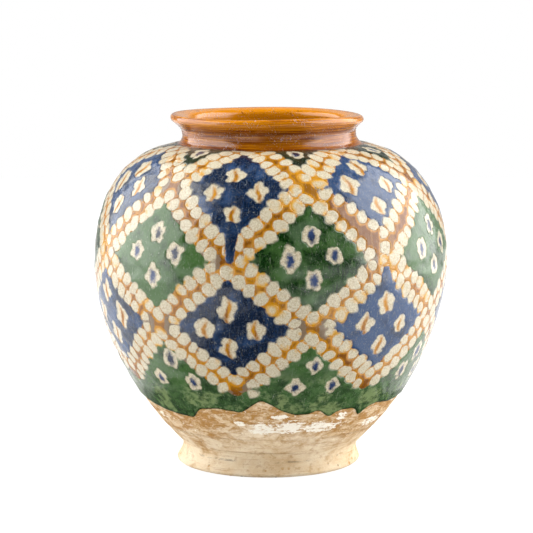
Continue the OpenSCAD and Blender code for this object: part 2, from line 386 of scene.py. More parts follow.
class Lozenge:
    """One lozenge on a flat sheet of its own: x to the right and y upwards, from its centre."""

    def __init__(self, kind, number):
        row, self.blue, self.florets = KINDS[kind]
        column = 2 * number + (0 if self.blue else 1)
        self.kind = kind
        self.turn = FIRST_BLUE + column * STEP
        self.s = (CROSSINGS[row] + CROSSINGS[row + 2]) / 2
        self.corners = np.array([self.flat(*crossing(row + up, column + right))
                                 for up, right in ((0, 0), (1, 1), (2, 0), (1, -1))])
        known = KNOWN.get(kind, {}).get(number, {})
        self.short, self.shift = known.get("short", 0.0), known.get("shift", 0.0)
        self.corners[0, 1] += self.short
        place = list(KINDS).index(kind)
        self.rng = np.random.default_rng(place * 100 + number + 5)
        self.floret_rng = np.random.default_rng(900 + place * 50 + number)
        drawn = np.random.default_rng(place * 100 + number + 605)
        self.pale = known.get("pale", drawn.uniform(-1, 1.4))
        self.bare = known.get("bare", np.maximum(drawn.uniform(-0.9, 1.0, 2), 0))

    def flat(self, turn, s):
        return offset(turn, self.turn, s), s - self.s

    def sides(self):
        """Each side's start, its whole run and its heading."""
        for a, b in zip(self.corners, np.roll(self.corners, -1, 0)):
            yield a, b - a, (b - a) / np.linalg.norm(b - a)

    def inside(self, turn, s):
        """Distance inside the lozenge's nearest side."""
        x, y = self.flat(turn, s)
        depths = [along[0] * (y - a[1]) - along[1] * (x - a[0]) for a, _, along in self.sides()]
        return functools.reduce(lambda least, depth: smooth_least(least, depth, 2.5), depths)

    def apart(self, turn, s):
        """Distance outside the lozenge, rounded at its corners."""
        x, y = self.flat(turn, s)
        gaps = []
        for a, side, _ in self.sides():
            share = unit(((x - a[0]) * side[0] + (y - a[1]) * side[1]) / (side @ side))
            gaps.append(np.hypot(x - a[0] - share * side[0], y - a[1] - share * side[1]))
        least = np.min(gaps, 0)
        return np.where(self.inside(turn, s) > 0, -least, least)

    def ring(self):
        """Where the ring's dots go on the flat sheet, each with the heading of its side."""
        edges = [(a + BAND_INSET * np.array([-along[1], along[0]]), along) for a, _, along in self.sides()]
        met = []
        for (p, u), (q, v) in zip([edges[-1], *edges], edges):
            met.append(p + np.linalg.solve(np.array([u, -v]).T, q - p)[0] * u)
        places = []
        for k, (a, b) in enumerate(zip(met, met[1:] + met[:1])):
            n = max(2, round(np.linalg.norm(b - a) / DOT_PITCH))
            spare = CORNER_GAP / n
            free = self.bare[1 if k < 2 else 0] > 0.3
            for step in range(n - k % 2 if free else n):
                share = spare * (k % 2) + step * (1 - spare) / (n - 1) if free else step / n
                places.append((*(a + (b - a) * share), math.atan2(b[1] - a[1], b[0] - a[0])))
        if self.short:
            x, y = self.corners[0]
            places += [(x + 0.6, y - 1.2, 0.0), (x - 0.8, y - self.short - 0.4, 0.0)]
        return places

    def worn_corners(self, turn, s):
        """Strength of the bare patches at the left and the right corner."""
        x, y = self.flat(turn, s)
        most = np.zeros(np.shape(x))
        for strength, (cx, cy), inward in zip(self.bare, self.corners[[3, 1]], (7.5, -7.5)):
            reach = np.hypot((x - cx - inward) / 4.2, (y - cy) / 7.0)
            most = np.maximum(most, strength * np.exp(-reach ** 2))
        return most

    def floret_places(self):
        """Where the florets go on the flat sheet, a little astray."""
        rng, lift = self.floret_rng, 0.35 * self.short
        return [(x + self.shift + rng.uniform(-1.2, 1.2), y + lift + rng.uniform(-1.3, 1.3))
                for x, y in self.florets]


class Grid:
    """The unrolled coat: a regular net of turn and s, with fields that the glazes are cut by."""

    def __init__(self, steps, pitch, low):
        self.turn = np.arange(steps + 1) * 360 / steps - 180
        self.s = ladder(low, TOP_S, pitch)
        self.t2, self.s2 = np.meshgrid(self.turn, self.s, indexing="ij")

    def columns(self, turn, span):
        """The columns less than span degrees from a turn."""
        return np.nonzero(np.abs(wrapped(self.turn - turn)) < span)[0]

    def near(self, turn, s, reach):
        """The net within reach of a place, with its flat offsets x and y."""
        columns = self.columns(turn, math.degrees(reach / radius(s)))
        rows = np.nonzero(np.abs(self.s - s) < reach)[0]
        at = np.ix_(columns, rows)
        return at, offset(self.t2[at], turn, self.s2[at]), self.s2[at] - s


def blob(x, y, size, rng, oval=0.1):
    """Signed distance to a wobbly round blot."""
    angle = np.arctan2(y, x)
    wobble = sum(height * np.cos(lobes * (angle - rng.uniform(0, 6.3)))
                 for lobes, height in ((2, oval), (3, 0.04), (4, 0.03)))
    return np.hypot(x, y) - size * (1 + wobble)


def smooth_least(a, b, blur):
    """The lesser of two distances, rounded where they meet."""
    share = unit(0.5 + (b - a) / (2 * blur))
    return b + (a - b) * share - blur * share * (1 - share)


def lay_dots(grid, lozenges):
    """Signed distance to the reserved dots, kept apart by thin lines, and a random tone for each."""
    first, second = (np.full(grid.t2.shape, 9.0) for _ in range(2))
    shade, gap = (np.zeros(grid.t2.shape) for _ in range(2))
    for lozenge in lozenges:
        rng = lozenge.rng
        for x0, y0, heading in lozenge.ring():
            s = lozenge.s + y0 + rng.normal(0, 0.4)
            lowest = CROSSINGS[1] - 3.5 if lozenge.kind == "green_apron" else 52
            if not lowest < s < TOP_S - 0.5:
                continue
            turn = lozenge.turn + math.degrees((x0 + rng.normal(0, 0.4)) / radius(s))
            at, x, y = grid.near(turn, s, 11)
            tilt = heading + rng.normal(0, 0.35)
            c, d = math.cos(tilt), math.sin(tilt)
            size, pull = rng.uniform(0.86, 1.18), rng.uniform(0.92, 1.12)
            along, across = (x * c + y * d) * pull, (y * c - x * d) / pull * DOT_ALONG / DOT_ACROSS
            apart = blob(along, across, size * DOT_ALONG, rng, 0.03)
            nearer = apart < first[at]
            second[at] = np.where(nearer, first[at], np.minimum(second[at], apart))
            shade[at] = np.where(nearer, rng.uniform(-1, 1), shade[at])
            gap[at] = np.where(nearer, DOT_GAP if rng.random() < 0.85 else -1.0, gap[at])
            first[at] = np.minimum(first[at], apart)
    return np.where(gap > 0, np.maximum(first, gap - (second - first) / 2), first), shade


def floret(x, y, blue, rng):
    """Signed distances to one floret, dabbed round its heart, and to the heart."""
    dabs = int(rng.choice((4, 4, 5, 5, 6)))
    start, big = rng.uniform(-0.4, 0.4) + math.pi / 2, rng.uniform(0.95, 1.2)
    tall = rng.uniform(0.95, 1.25) if blue else rng.uniform(1.05, 1.3)
    big *= 1.08 if blue else 1
    x, y = x / big, y / big / tall
    whole = blob(x, y, rng.uniform(3.5, 4.2), rng, 0.08)
    for k in range(dabs):
        a = start + (k + rng.uniform(-0.12, 0.12)) * 2 * math.pi / dabs
        out = rng.uniform(2.7, 3.6)
        dab = blob(x - out * math.cos(a), y - out * math.sin(a), rng.uniform(1.9, 2.6), rng)
        whole = smooth_least(whole, dab, 1.1)
    if blue:
        bend = 0.9 * np.sin(y * 0.55 + rng.uniform(0, 6))
        heart = np.hypot((x - bend) * 2.3, (y + 0.9) * 0.6) - rng.uniform(1.8, 2.6)
    else:
        heart = np.hypot(x * 1.15, (y + 0.3) * 0.8) - rng.uniform(2.0, 2.6)
    return whole, heart


def lay_florets(grid, lozenges):
    """Signed distances to the florets and to their hearts."""
    petals, hearts = (np.full(grid.t2.shape, 9.0) for _ in range(2))
    for lozenge in lozenges:
        for x0, y0 in lozenge.floret_places():
            s = lozenge.s + y0
            turn = lozenge.turn + math.degrees(x0 / radius(s))
            at, x, y = grid.near(turn, s, 14)
            whole, heart = floret(x, y, lozenge.blue, lozenge.floret_rng)
            petals[at] = np.minimum(petals[at], whole)
            hearts[at] = np.minimum(hearts[at], heart)
    return petals, hearts


def golden_pools(turn, s):
    """About one where the amber runs golden: listed in front, seeded behind."""
    rng = np.random.default_rng(77)
    behind = [(rng.uniform(95, 265), rng.uniform(70, 200), rng.uniform(6, 14)) for _ in range(22)]
    most = np.zeros(np.shape(turn))
    for at, up, reach in (*GOLD_POOLS, *behind):
        most = np.maximum(most, np.exp(-(offset(turn, at, s) ** 2 + (s - up) ** 2) / reach ** 2))
    return most


def lower_edge(turn):
    """Arc length of the glaze's lower edge: listed on the photographed side, seeded behind."""
    turn = wrapped(turn)
    back = 41.5 + 3.2 * ripple(turn, 0, 31, (5, 12), (90, 91)) + 1.2 * ripple(turn, 0, 32, (14, 26), (90, 91))
    places, heights = np.array(FRONT_EDGE).T
    front = sum(np.interp(turn + astray, places, heights) for astray in (-1.4, -0.7, 0, 0.7, 1.4)) / 5
    share = unit((100 - np.abs(turn)) / 15)
    return back + (front - back) * share


def run_of_colour(grid, turn, top, bottom, wide_top, wide_low):
    """Signed distance inside a run of colour, which narrows or widens downwards to a round end."""
    share = unit((grid.s2 - bottom) / (top - bottom))
    below = np.minimum(grid.s2 - bottom, 0)
    half = (wide_low + (wide_top - wide_low) * share ** 1.4) / 2
    return np.where(grid.s2 < top, half - np.hypot(offset(grid.t2, turn, grid.s2), below), -9.0)


def build_fields(grid):
    """Everything that the coat is cut and coloured by, for each point of the net."""
    lozenges = [Lozenge(kind, number) for kind in KINDS for number in range(COLUMNS)]
    t2, s2 = grid.t2, grid.s2
    dots, shade = lay_dots(grid, lozenges)
    petals, hearts = lay_florets(grid, lozenges)
    waver = ripple(t2, s2, 41, (20, 60), (6, 20), 24)
    fine = ripple(t2, s2, 42, (60, 140), (3, 8), 24)
    best, clear = np.full(t2.shape, -30.0), np.full(t2.shape, 30.0)
    hue, pale, bare = (np.zeros(t2.shape) for _ in range(3))
    inset = {}
    for kind in KINDS:
        depth = np.full(t2.shape, -30.0)
        for lozenge in (z for z in lozenges if z.kind == kind):
            at = grid.columns(lozenge.turn, 1.3 * STEP)
            depth[at] = np.maximum(depth[at], lozenge.inside(t2[at], s2[at]))
            near = depth[at] > best[at]
            for kept, value in ((best, depth[at]), (hue, 0.0 if lozenge.blue else 1.0), (pale, lozenge.pale)):
                kept[at] = np.where(near, value, kept[at])
            bare[at] = np.maximum(bare[at], lozenge.worn_corners(t2[at], s2[at]))
        inset[kind] = depth - FIELD_INSET + 0.4 * waver + 0.12 * fine
    for lozenge in (z for z in lozenges if z.kind == "blue_belly"):
        at = grid.columns(lozenge.turn, 1.6 * STEP)
        clear[at] = np.minimum(clear[at], lozenge.apart(t2[at], s2[at]))
    tip = 2.0 * unit((CROSSINGS[1] + 3 - s2) / 6)
    apron = np.where(s2 < CROSSINGS[2], clear - FIELD_INSET + tip + 0.5 * waver, -30.0)
    inset["green_apron"] = apron
    hue = np.where(apron > best - FIELD_INSET, 1.0, hue)
    for kind, *sizes in RUNS:
        within = run_of_colour(grid, *sizes)
        inset[kind] = np.maximum(inset[kind], within)
        dots = np.maximum(dots, within)
        hue = np.where(within > -1, 0.0 if kind.startswith("blue") else 1.0, hue)
    field = np.max(list(inset.values()), axis=0)
    return {"turn": t2, "s": s2, "dots": dots + 0.12 * fine + 0.12 * waver,
            "petals": np.maximum(petals + 0.16 * fine, 1.0 - field), "hearts": hearts + 0.2 * fine,
            "edge": s2 - lower_edge(t2), "shade": shade, "hue": hue, "pale": pale, "neck": TOP_S - s2,
            "field": field, "bare": bare, "gold": golden_pools(t2, s2), "side": hue - 0.5, **inset}


# ---- cutting the coat into its glazes

SNAP = 0.1  # a field this close to nought counts as this far from it, so that no sliver is cut


def split(corners, column):
    """Cuts triangles, (n, 3, fields), along the line where a field is nought; gives those below and above."""
    value = corners[:, :, column]
    value = np.where(np.abs(value) < SNAP, np.where(value < 0, -SNAP, SNAP), value)
    positive = (value > 0).sum(1)
    below, above = [corners[positive == 0]], [corners[positive == 3]]
    for number, lone_side, pair_side in ((1, above, below), (2, below, above)):
        part, level = corners[positive == number], value[positive == number]
        lone = ((level > 0) == (number == 1)).argmax(1)
        order = (lone[:, None] + np.arange(3)) % 3
        rows = np.arange(len(part))[:, None]
        a, b, c = np.moveaxis(part[rows, order], 1, 0)
        at_a, at_b, at_c = level[rows, order].T
        ab = a + (b - a) * (at_a / (at_a - at_b))[:, None]
        ac = a + (c - a) * (at_a / (at_a - at_c))[:, None]
        lone_side.append(np.stack([a, ab, ac], 1))
        pair_side.append(np.stack([ab, b, c], 1))
        pair_side.append(np.stack([ab, c, ac], 1))
    return np.concatenate(below), np.concatenate(above)


def relief(f):
    """Height of the glaze's face over the clay, in millimetres."""
    dip = 0.13 * unit(-f["dots"] / 0.8) + 0.1 * unit(-f["petals"] / 0.8)
    groove = 0.1 * np.exp(-(f["dots"] / 0.45) ** 2)
    pool = 0.1 * np.clip(f["field"] / 3, -1, 1)
    bead = 0.2 * np.exp(-((f["edge"] - 1.6) / 1.4) ** 2) - 0.4 * np.exp(-(f["edge"] / 0.8) ** 2)
    uneven = 0.05 * ripple(f["turn"], f["s"], 51, (30, 80), (6, 16), 16)
    return COAT - dip - groove + pool + bead + uneven


# The attributes that the glazes' material reads, and the fields that each holds.
READ = {"reserve": ("dots", "petals", "hearts"), "glaze": ("field", "hue", "pale"),
        "run": ("edge", "neck", "shade"), "worn": ("bare", "gold", "gold")}


def coat_piece(name, corners, names):
    """A closed shell of glaze from its face's triangles."""
    flat = corners.reshape(-1, corners.shape[-1])
    f = dict(zip(names, flat.T))
    key = np.stack([np.round(f["turn"] % 360, 5) % 360, np.round(f["s"], 5)], 1)
    _, kept, index = np.unique(key, axis=0, return_index=True, return_inverse=True)
    index = index.reshape(-1, 3)
    index = index[(index != np.roll(index, 1, 1)).all(1)]
    f = {k: v[kept] for k, v in f.items()}
    face = body_points(f["turn"], f["s"], relief(f))
    back = body_points(f["turn"], f["s"], SLIP)
    n = len(kept)
    directed = np.concatenate([index[:, pair] for pair in ([0, 1], [1, 2], [2, 0])])
    codes = directed[:, 0] * n + directed[:, 1]
    rim = directed[~np.isin(codes, directed[:, 1] * n + directed[:, 0])]
    sides = np.stack([rim[:, 1], rim[:, 0], rim[:, 0] + n, rim[:, 1] + n], 1)
    triangles = np.concatenate([index, index[:, ::-1] + n])
    layers = {key: np.stack([f[part] for part in parts], -1) for key, parts in READ.items()}
    layers["flow"] = around(f["turn"], 1.0, f["s"] / 100)
    layers = {key: np.concatenate([v, v]) for key, v in layers.items()}
    return mesh_piece(name, np.concatenate([face, back]), triangles, sides, len(sides), layers)


def cut_coat(grid, fields):
    names = list(fields)
    stack = np.stack([fields[k] for k in names], -1)
    a, b, c, d = stack[:-1, :-1], stack[1:, :-1], stack[1:, 1:], stack[:-1, 1:]
    corners = np.concatenate([np.stack(three, 2).reshape(-1, 3, len(names))
                              for three in ((a, b, c), (a, c, d))])
    _, corners = split(corners, names.index("edge"))
    dots, corners = split(corners, names.index("dots"))
    florets, corners = split(corners, names.index("petals"))
    blue_dots, green_dots = split(dots, names.index("side"))
    cut = {"reserved_dots_blue": blue_dots, "reserved_dots_green": green_dots, "reserved_florets": florets}
    for kind in KINDS:
        corners, cut[kind] = split(corners, names.index(kind))
    cut["amber_lattice"] = corners
    return {k: coat_piece(k, v, names) for k, v in cut.items()}


# ---- materials

GLAZE_IOR, CLAY_IOR = 1.6, 1.45

AMBER, AMBER_DARK = tone(140, 84, 2), tone(100, 52, 0)
AMBER_YELLOW, AMBER_PALE = tone(190, 128, 0), tone(192, 142, 66)
BLUE_DEEP, BLUE, BLUE_WORN = tone(0, 25, 54), tone(40, 68, 108), tone(120, 124, 116)
BLUE_FLECK = tone(132, 118, 88)
GREEN_DEEP, GREEN, GREEN_WORN = tone(0, 38, 0), tone(62, 96, 46), tone(120, 132, 98)
GREEN_YELLOW, GREEN_GREY = tone(124, 142, 92), tone(92, 116, 84)
GREEN_BLACK, HEART_BLUE = tone(26, 30, 22), tone(46, 64, 104)
CREAM, CREAM_BROWN, CREAM_YELLOW = tone(213, 205, 180), tone(150, 122, 84), tone(208, 152, 20)
BARE, SCRATCHED = tone(126, 106, 84), tone(176, 178, 164)
CLAY, CLAY_STAIN, CLAY_PALE = tone(226, 200, 160), tone(178, 130, 66), tone(240, 224, 196)
CLAY_DARK, CLAY_WHITE = tone(120, 88, 56), tone(252, 246, 232)
NECK_DARK, NECK_AMBER, NECK_YELLOW = tone(106, 46, 0), tone(154, 84, 0), tone(190, 118, 0)
# the neck's root colour is the glaze's dark brown at that joint; the same colour is also painted shade in the
# undercut under the lip
NECK_GOLD, NECK_ROOT_AND_LIP_SHADE, NECK_SCUFF = tone(208, 130, 0), tone(92, 32, 8), tone(180, 168, 160)

EVEN = (1, 1, 1)  # no stretch


def field_colours(m, cloud, patch, streak, grain, edge, neck, hue, pale):
    """The blue and green glazes, mottled and streaked down the wall."""
    depth = cloud + pale * 0.075
    flecks = m.noise(EVEN, 70, 4, 0.8, 0.6).ramp(0.56, 0.66, 0, 0.42)
    blue = m.layered(
        BLUE_DEEP, (BLUE, depth, 0.36, 0.62), (BLUE, streak, 0.5, 0.85, 0, 0.6),
        (BLUE_WORN, grain.ramp(0.52, 0.7) * streak.ramp(0.4, 0.75, 0.12, 0.7)),
        (BLUE_FLECK, flecks * patch.ramp(0.4, 0.56, 0.3, 1)))
    mottle = m.noise((1, 1, 1.3), 20, 5, 0.7, 0.3)
    thin = patch + (mottle - 0.5) * 0.6
    green = m.layered(
        GREEN_DEEP, (GREEN, depth, 0.36, 0.64), (GREEN, streak, 0.45, 0.8, 0, 0.7),
        (GREEN_WORN, grain.ramp(0.5, 0.76) * streak.ramp(0.4, 0.75, 0.15, 0.8)),
        (GREEN_GREY, patch, 0.44, 0.7, 0, 0.5), (GREEN_GREY, edge, 36, 20, 0, 0.25),
        (GREEN_YELLOW, thin.ramp(0.5, 0.66) * edge.ramp(34, 12, 0, 0.8)),
        (GREEN_DEEP, mottle.ramp(0.56, 0.4) * edge.ramp(36, 18, 0, 0.5)),
        (GREEN_DEEP, edge, 0.3, 2.2, 0.8, 0), (GREEN_BLACK, neck, 42, 20, 0, 0.85))
    return m.mix(hue, blue, green)


def glaze_material(name):
    """The whole coat, read from its fields."""
    m = new_shade(name)
    dots, petals, hearts = m.fields("reserve")
    field, hue, pale = m.fields("glaze")
    edge, neck, shade = m.fields("run")
    bare, pool, _ = m.fields("worn")
    grain = m.noise(EVEN, 95, 3, 0.75)
    cloud = m.noise(EVEN, 8, 5, 0.6, 0.3)
    patch = m.noise((1, 1, 1.6), 5, 3, 0.5, 0.4)
    streak = m.noise((55, 55, 8), 1, 4, 0.6, 0.5)
    ragged = m.noise(EVEN, 60, 3, 0.6) - 0.5
    scratch = m.noise((110, 150, 30), 1, 3, 0.5, 2)

    amber = m.layered(
        AMBER, (AMBER_YELLOW, pool + (cloud - 0.5) * 1.6, 0.15, 0.6),
        (AMBER_PALE, streak, 0.46, 0.66, 0, 0.6), (AMBER_DARK, dots + ragged, 0.7, 1.7, 0, 0.6),
        (AMBER_YELLOW, dots.ramp(0.2, 1.5, 1, 0) * patch.ramp(0.38, 0.6, 0.85, 0.25)))
    colour = field_colours(m, cloud, patch, streak, grain, edge, neck, hue, pale)
    inner = field + ragged * 1.6
    near_edge = abs(field + 0.8).ramp(1.8, 0.8)
    rubbed = m.noise(EVEN, 5.5, 4, 0.6, 0.6).ramp(0.55, 0.59) * near_edge
    corner_bare = (bare + ragged * 0.7).ramp(0.38, 0.48) * inner.ramp(0.4, -0.2)
    colour = m.mix(inner.ramp(-0.5, 0.5), amber, colour)
    colour = m.mix(m.math("MAXIMUM", rubbed, corner_bare), colour, BARE)

    petal_cream = m.layered(CREAM, (CREAM_BROWN, m.noise(EVEN, 150, 2, 0.8), 0.42, 0.64, 0, 0.55),
                            (CREAM_BROWN, grain, 0.5, 0.68, 0, 0.5))
    golden = (m.noise(EVEN, 12, 2) + shade * 0.08 + pool * 0.14).ramp(0.58, 0.72)
    rim = dots + ragged * 0.8
    cream = m.mix(golden * rim.ramp(-2.4, -0.2, 0.15, 0.95), petal_cream, CREAM_YELLOW)
    colour = m.mix((rim / field.ramp(-0.4, 1.2, 0.75, 1.5)).ramp(-0.7, 0.4), cream, colour)

    amber_heart = m.mix(streak.ramp(0.38, 0.62), AMBER_YELLOW, AMBER)
    heart = m.mix(hue, amber_heart, m.mix(cloud.ramp(0.4, 0.6), BLUE_DEEP, HEART_BLUE))
    stained = hearts.ramp(2.2, 0.4, 0, 0.4) * m.math("SUBTRACT", 1, hue)
    petal = m.mix(stained, petal_cream, AMBER_PALE)
    blot = m.mix((hearts + ragged * 3.4).ramp(-1.1, 1.1), heart, petal)
    colour = m.mix((petals + ragged * 1.5).ramp(-0.9, 0.3), blot, colour)
    colour = m.layered(colour, (SCRATCHED, scratch, 0.62, 0.72, 0, 0.45))

    crackle = m.cells(42, "DISTANCE_TO_EDGE").ramp(0, 0.035)
    height = crackle * 0.3 + grain * 0.5
    return m.finish(colour, grain.ramp(0.35, 0.8, 0.12, 0.28), m.bump(height, 0.00009), GLAZE_IOR)


def clay_material(name, inside=False):
    """Bare fired clay with throwing lines, stained under the glaze's edge and patched with worn slip."""
    m = new_shade(name)
    edge, up, patch = m.fields("run")
    lines = m.noise((2.5, 2.5, 110), 1, 5, 0.65, 0.3)
    brushed = m.noise((9, 9, 24), 1, 6, 0.75, 0.8)
    cloud = m.noise((1, 1, 1.8), 4.5, 5, 0.65, 0.4)
    grain = m.noise(EVEN, 110, 3, 0.7)
    ragged = m.noise((1, 1, 2.5), 26, 5, 0.7) - 0.5
    blotch = m.noise((1, 1, 1.6), 15, 5, 0.7, 0.3)
    soil = m.noise((1, 1, 1.8), 48, 4, 0.8, 0.5)

    stain = (edge + (cloud - 0.5) * 70).ramp(-44, -10) * brushed.ramp(0.4, 0.56, 0.15, 1)
    near_glaze = (edge + ragged * 34).ramp(-12, -2, 0, 0.85) * brushed.ramp(0.4, 0.54, 0.3, 1)
    stained = m.math("MAXIMUM", stain, near_glaze)
    crease = abs(up - (WAIST_Z - 2.4))
    pitted = m.cells(16, "F1").ramp(0.2, 0.13) * up.ramp(8, 2.5)
    colour = m.layered(
        CLAY_PALE, (CLAY, cloud, 0.35, 0.65), (CLAY_PALE, lines, 0.5, 0.7, 0, 0.5),
        (CLAY_STAIN, lines, 0.42, 0.34, 0, 0.5), (CLAY_STAIN, blotch, 0.52, 0.64, 0, 0.4),
        (CLAY_STAIN, stained), (CLAY_DARK, stained * soil.ramp(0.52, 0.66, 0, 0.6)),
        (CLAY_WHITE, ragged.ramp(0.11, 0.17) * edge.ramp(-32, -12)),
        (CLAY_WHITE, patch + (ragged * 6.5 + (lines - 0.5) * 5), 0.15, 0.35, 0, 0.95),
        (CLAY_STAIN, grain, 0.56, 0.76, 0, 0.5),
        (CLAY_DARK, crease.ramp(0.9, 0.2) * brushed.ramp(0.5, 0.62, 0, 0.6)),
        (m.mix(cloud.ramp(0.5, 0.54), CLAY_DARK, AMBER_YELLOW), pitted * 0.85))
    if inside:
        colour = m.mix(0.5, colour, CLAY_STAIN)
    height = lines * 0.7 + grain * 0.4 - pitted
    return m.finish(colour, grain.ramp(0.3, 0.7, 0.72, 0.92), m.bump(height, 0.0003), CLAY_IOR)


def neck_material(name):
    """Amber glaze over turned clay, with fine horizontal lines, rubbed streaks and painted shade under the
    lip.
    """
    m = new_shade(name)
    lines = m.noise((2, 2, 170), 1, 4, 0.7, 0.1)
    bands = m.noise((1.4, 1.4, 44), 1, 4, 0.6, 0.1)
    rubbed = m.noise((60, 60, 110), 1, 4, 0.75, 0.5)
    where = m.noise((3, 3, 8), 1, 2)
    spotted = m.noise((14, 14, 40), 1, 4, 0.7, 0.3)
    low, high, inward = m.fields("run")
    crest = m.mix(lines.ramp(0.4, 0.6), NECK_AMBER, NECK_GOLD)
    mouth = m.layered(NECK_YELLOW, (NECK_GOLD, lines, 0.36, 0.5), (NECK_DARK, spotted, 0.58, 0.7, 0, 0.7))
    scuffed = rubbed.ramp(0.56, 0.66) * where.ramp(0.42, 0.6, 0.1, 0.9)
    colour = m.layered(
        NECK_DARK, (NECK_AMBER, bands, 0.36, 0.48), (NECK_YELLOW, lines, 0.5, 0.6),
        (NECK_DARK, lines, 0.44, 0.36, 0, 0.7), (NECK_ROOT_AND_LIP_SHADE, low, 2.4, 0.4, 0, 0.8),
        # a thin dark line in the undercut under the lip's roll: painted shade
        (NECK_ROOT_AND_LIP_SHADE, abs(high + 8.2), 1.2, 0.3, 0, 0.6), (crest, high, -6.4, -5),
        (mouth, inward), (NECK_SCUFF, scuffed))
    roughness = rubbed.ramp(0.4, 0.7, 0.07, 0.15) + scuffed * 0.2
    return m.finish(colour, roughness, m.bump(lines + rubbed * 0.3, 0.00008), GLAZE_IOR)


# ---- clay sections

# Patches of worn white slip on the bare clay: turn, arc length, half width and half height.
SLIP_PATCHES = ((-3, 29, 7, 5), (9, 30, 9, 5.5), (23, 29, 11, 4.5), (4, 39, 5, 1.6), (33, 36, 3, 3.5),
                (-14, 33, 3, 2), (58, 26, 10, 4), (95, 31, 12, 4), (122, 24, 8, 5), (160, 29, 14, 3.5),
                (-165, 25, 9, 5), (-130, 31, 11, 3), (-96, 27, 8, 4.5), (-62, 30, 4, 2.5))


def worn_slip(turn, s):
    """Above nought inside the patches of worn slip."""
    most = np.full(np.shape(turn), -3.0)
    for at, low, wide, tall in SLIP_PATCHES:
        x = offset(turn, at, s) / wide
        most = np.maximum(most, 1 - (np.abs(x) ** 2.5 + np.abs((s - low) / tall) ** 2.5))
    return most


def clay_run(turn, r, z):
    s = np.interp(z, CURVE[:, 1], ARC) + np.minimum(z - WAIST_Z, 0)
    return np.stack([s - lower_edge(turn), z, worn_slip(turn, s)], -1)


# Fields that the clay's material reads, as functions of (turn, r, z).
CLAY_FIELDS = {"run": clay_run, "flow": lambda turn, r, z: around(turn, r / 80, z / 100)}


def strayed(turn, r, z):
    """Points in metres, astray as the body is."""
    return around(turn, r + sway(turn, np.interp(z, CURVE[:, 1], ARC)), z) * MM


def footed(turn, r, z):
    """Points in metres, pushed left as the foot is, by up to 1.5 mm at the resting face."""
    points = around(turn, r, z)
    points[..., 0] -= 1.5 * unit(1 - z / 14)
    return points * MM


def dense(points, step=1.0):
    """A closed outline with extra points along its straight stretches."""
    rows = []
    for a, b in zip(points, points[1:] + points[:1]):
        n = max(1, int(math.dist(a, b) / step))
        rows += [(a[0] + (b[0] - a[0]) * k / n, a[1] + (b[1] - a[1]) * k / n) for k in range(n)]
    return np.array(rows)


def band(up, outer, inner):
    """A closed outline along rising arc lengths, between two lifts off the clay. inner runs downwards."""
    return np.concatenate([np.stack(outline(up, outer), 1), np.stack(outline(up[::-1], inner), 1)])


def wall_loop(low, high):
    """The wall's closed outline between two arc lengths, with throwing rings inside."""
    up = ladder(low, high, 1.5)
    down = up[::-1]
    thick = WALL_LOW + (WALL_HIGH - WALL_LOW) * down / TOP_S
    rings = 0.35 * np.sin(down / 7 * 2 * np.pi) + 0.15 * np.sin(down / 2.9 * 2 * np.pi)
    return band(up, 0, -thick + rings * unit((TOP_S - down) / 12))


def steps_from(r, z, *steps):
    return [(r + dr, z + dz) for dr, dz in steps]


def neck_loops():
    """The neck's closed outlines: its clay, its outer glaze and its throat's glaze."""
    root = steps_from(ROOT_R, ROOT_Z, (2.2, 0.7), (1.0, 1.2), (0.0, 2.0), (-0.8, 3.0), (-1.4, 4.2))
    side = [(ROOT_R - 1.8, z) for z in np.arange(ROOT_Z + 5.4, ROOT_Z + 8.0, 0.6)]
    under = steps_from(ROOT_R, ROOT_Z, (-1.6, 9.0), (-1.0, 10.2), (0.2, 11.7), (1.6, 12.9))
    roll, clay_roll = (
        [(LIP_R - LIP_ROLL + reach * math.cos(a), TOP_Z - LIP_ROLL + reach * math.sin(a))
         for a in np.radians(np.linspace(-50, 100, 22))] for reach in (LIP_ROLL, LIP_ROLL - GLAZE))
    outer = root + side + under
    thin = [(r - GLAZE, z) for r, z in outer]
    glaze = outer + roll + clay_roll[::-1] + thin[::-1]
    slope = steps_from(THROAT_R, TOP_Z, (4.5, -0.7), (2.4, -1.2), (1.1, -1.8))
    slope += steps_from(THROAT_R, THROAT_TOP, (0.3, 0.3), (0.0, -0.9))
    inner = steps_from(THROAT_R, THROAT_TOP, (1.3, 0.4), (GLAZE, -1.2))
    back = [(THROAT_R + GLAZE, THROAT_LOW)]
    throat = [(THROAT_R, THROAT_LOW)] + back + inner[::-1] + [clay_roll[-1], roll[-1]] + slope
    spigot = back + [(ROOT_R - LUTE, THROAT_LOW), (ROOT_R - LUTE, ROOT_Z)]
    return spigot + thin + clay_roll + inner, glaze, throat


def neck_place(turn, r, z):
    """The neck's points, with turned ridges and the hand-thrown lean."""
    ridges = 0.1 * np.sin(z * 4.1 + 0.5 * np.cos(np.radians(turn) * 2)) + 0.05 * np.sin(z * 9.3)
    ridges = ridges * unit((z - ROOT_Z - 1) / 2) * unit((TOP_Z - 2 - z) / 2)
    wave = 0.25 * ripple(turn, z, 61, (1, 3), (60, 90), 6) * unit((z - ROOT_Z) / 8)
    points = around(turn, r + ridges, z + wave * unit((z - 203) / 4))
    points[..., 0] += lean(z)
    return points * MM


def neck_run(turn, r, z):
    bound = np.where(z > TOP_Z - 4, LIP_R - LIP_ROLL - 1.0, THROAT_R + 3.0)
    return np.stack([z - ROOT_Z, z - TOP_Z, unit((bound - r) / 1.5)], -1)


NECK_FIELDS = {"run": neck_run, "flow": lambda turn, r, z: around(turn, 1.0, z / 100 + r / 300)}


# ---- the pieces

AROUND = 420  # steps of a turned piece

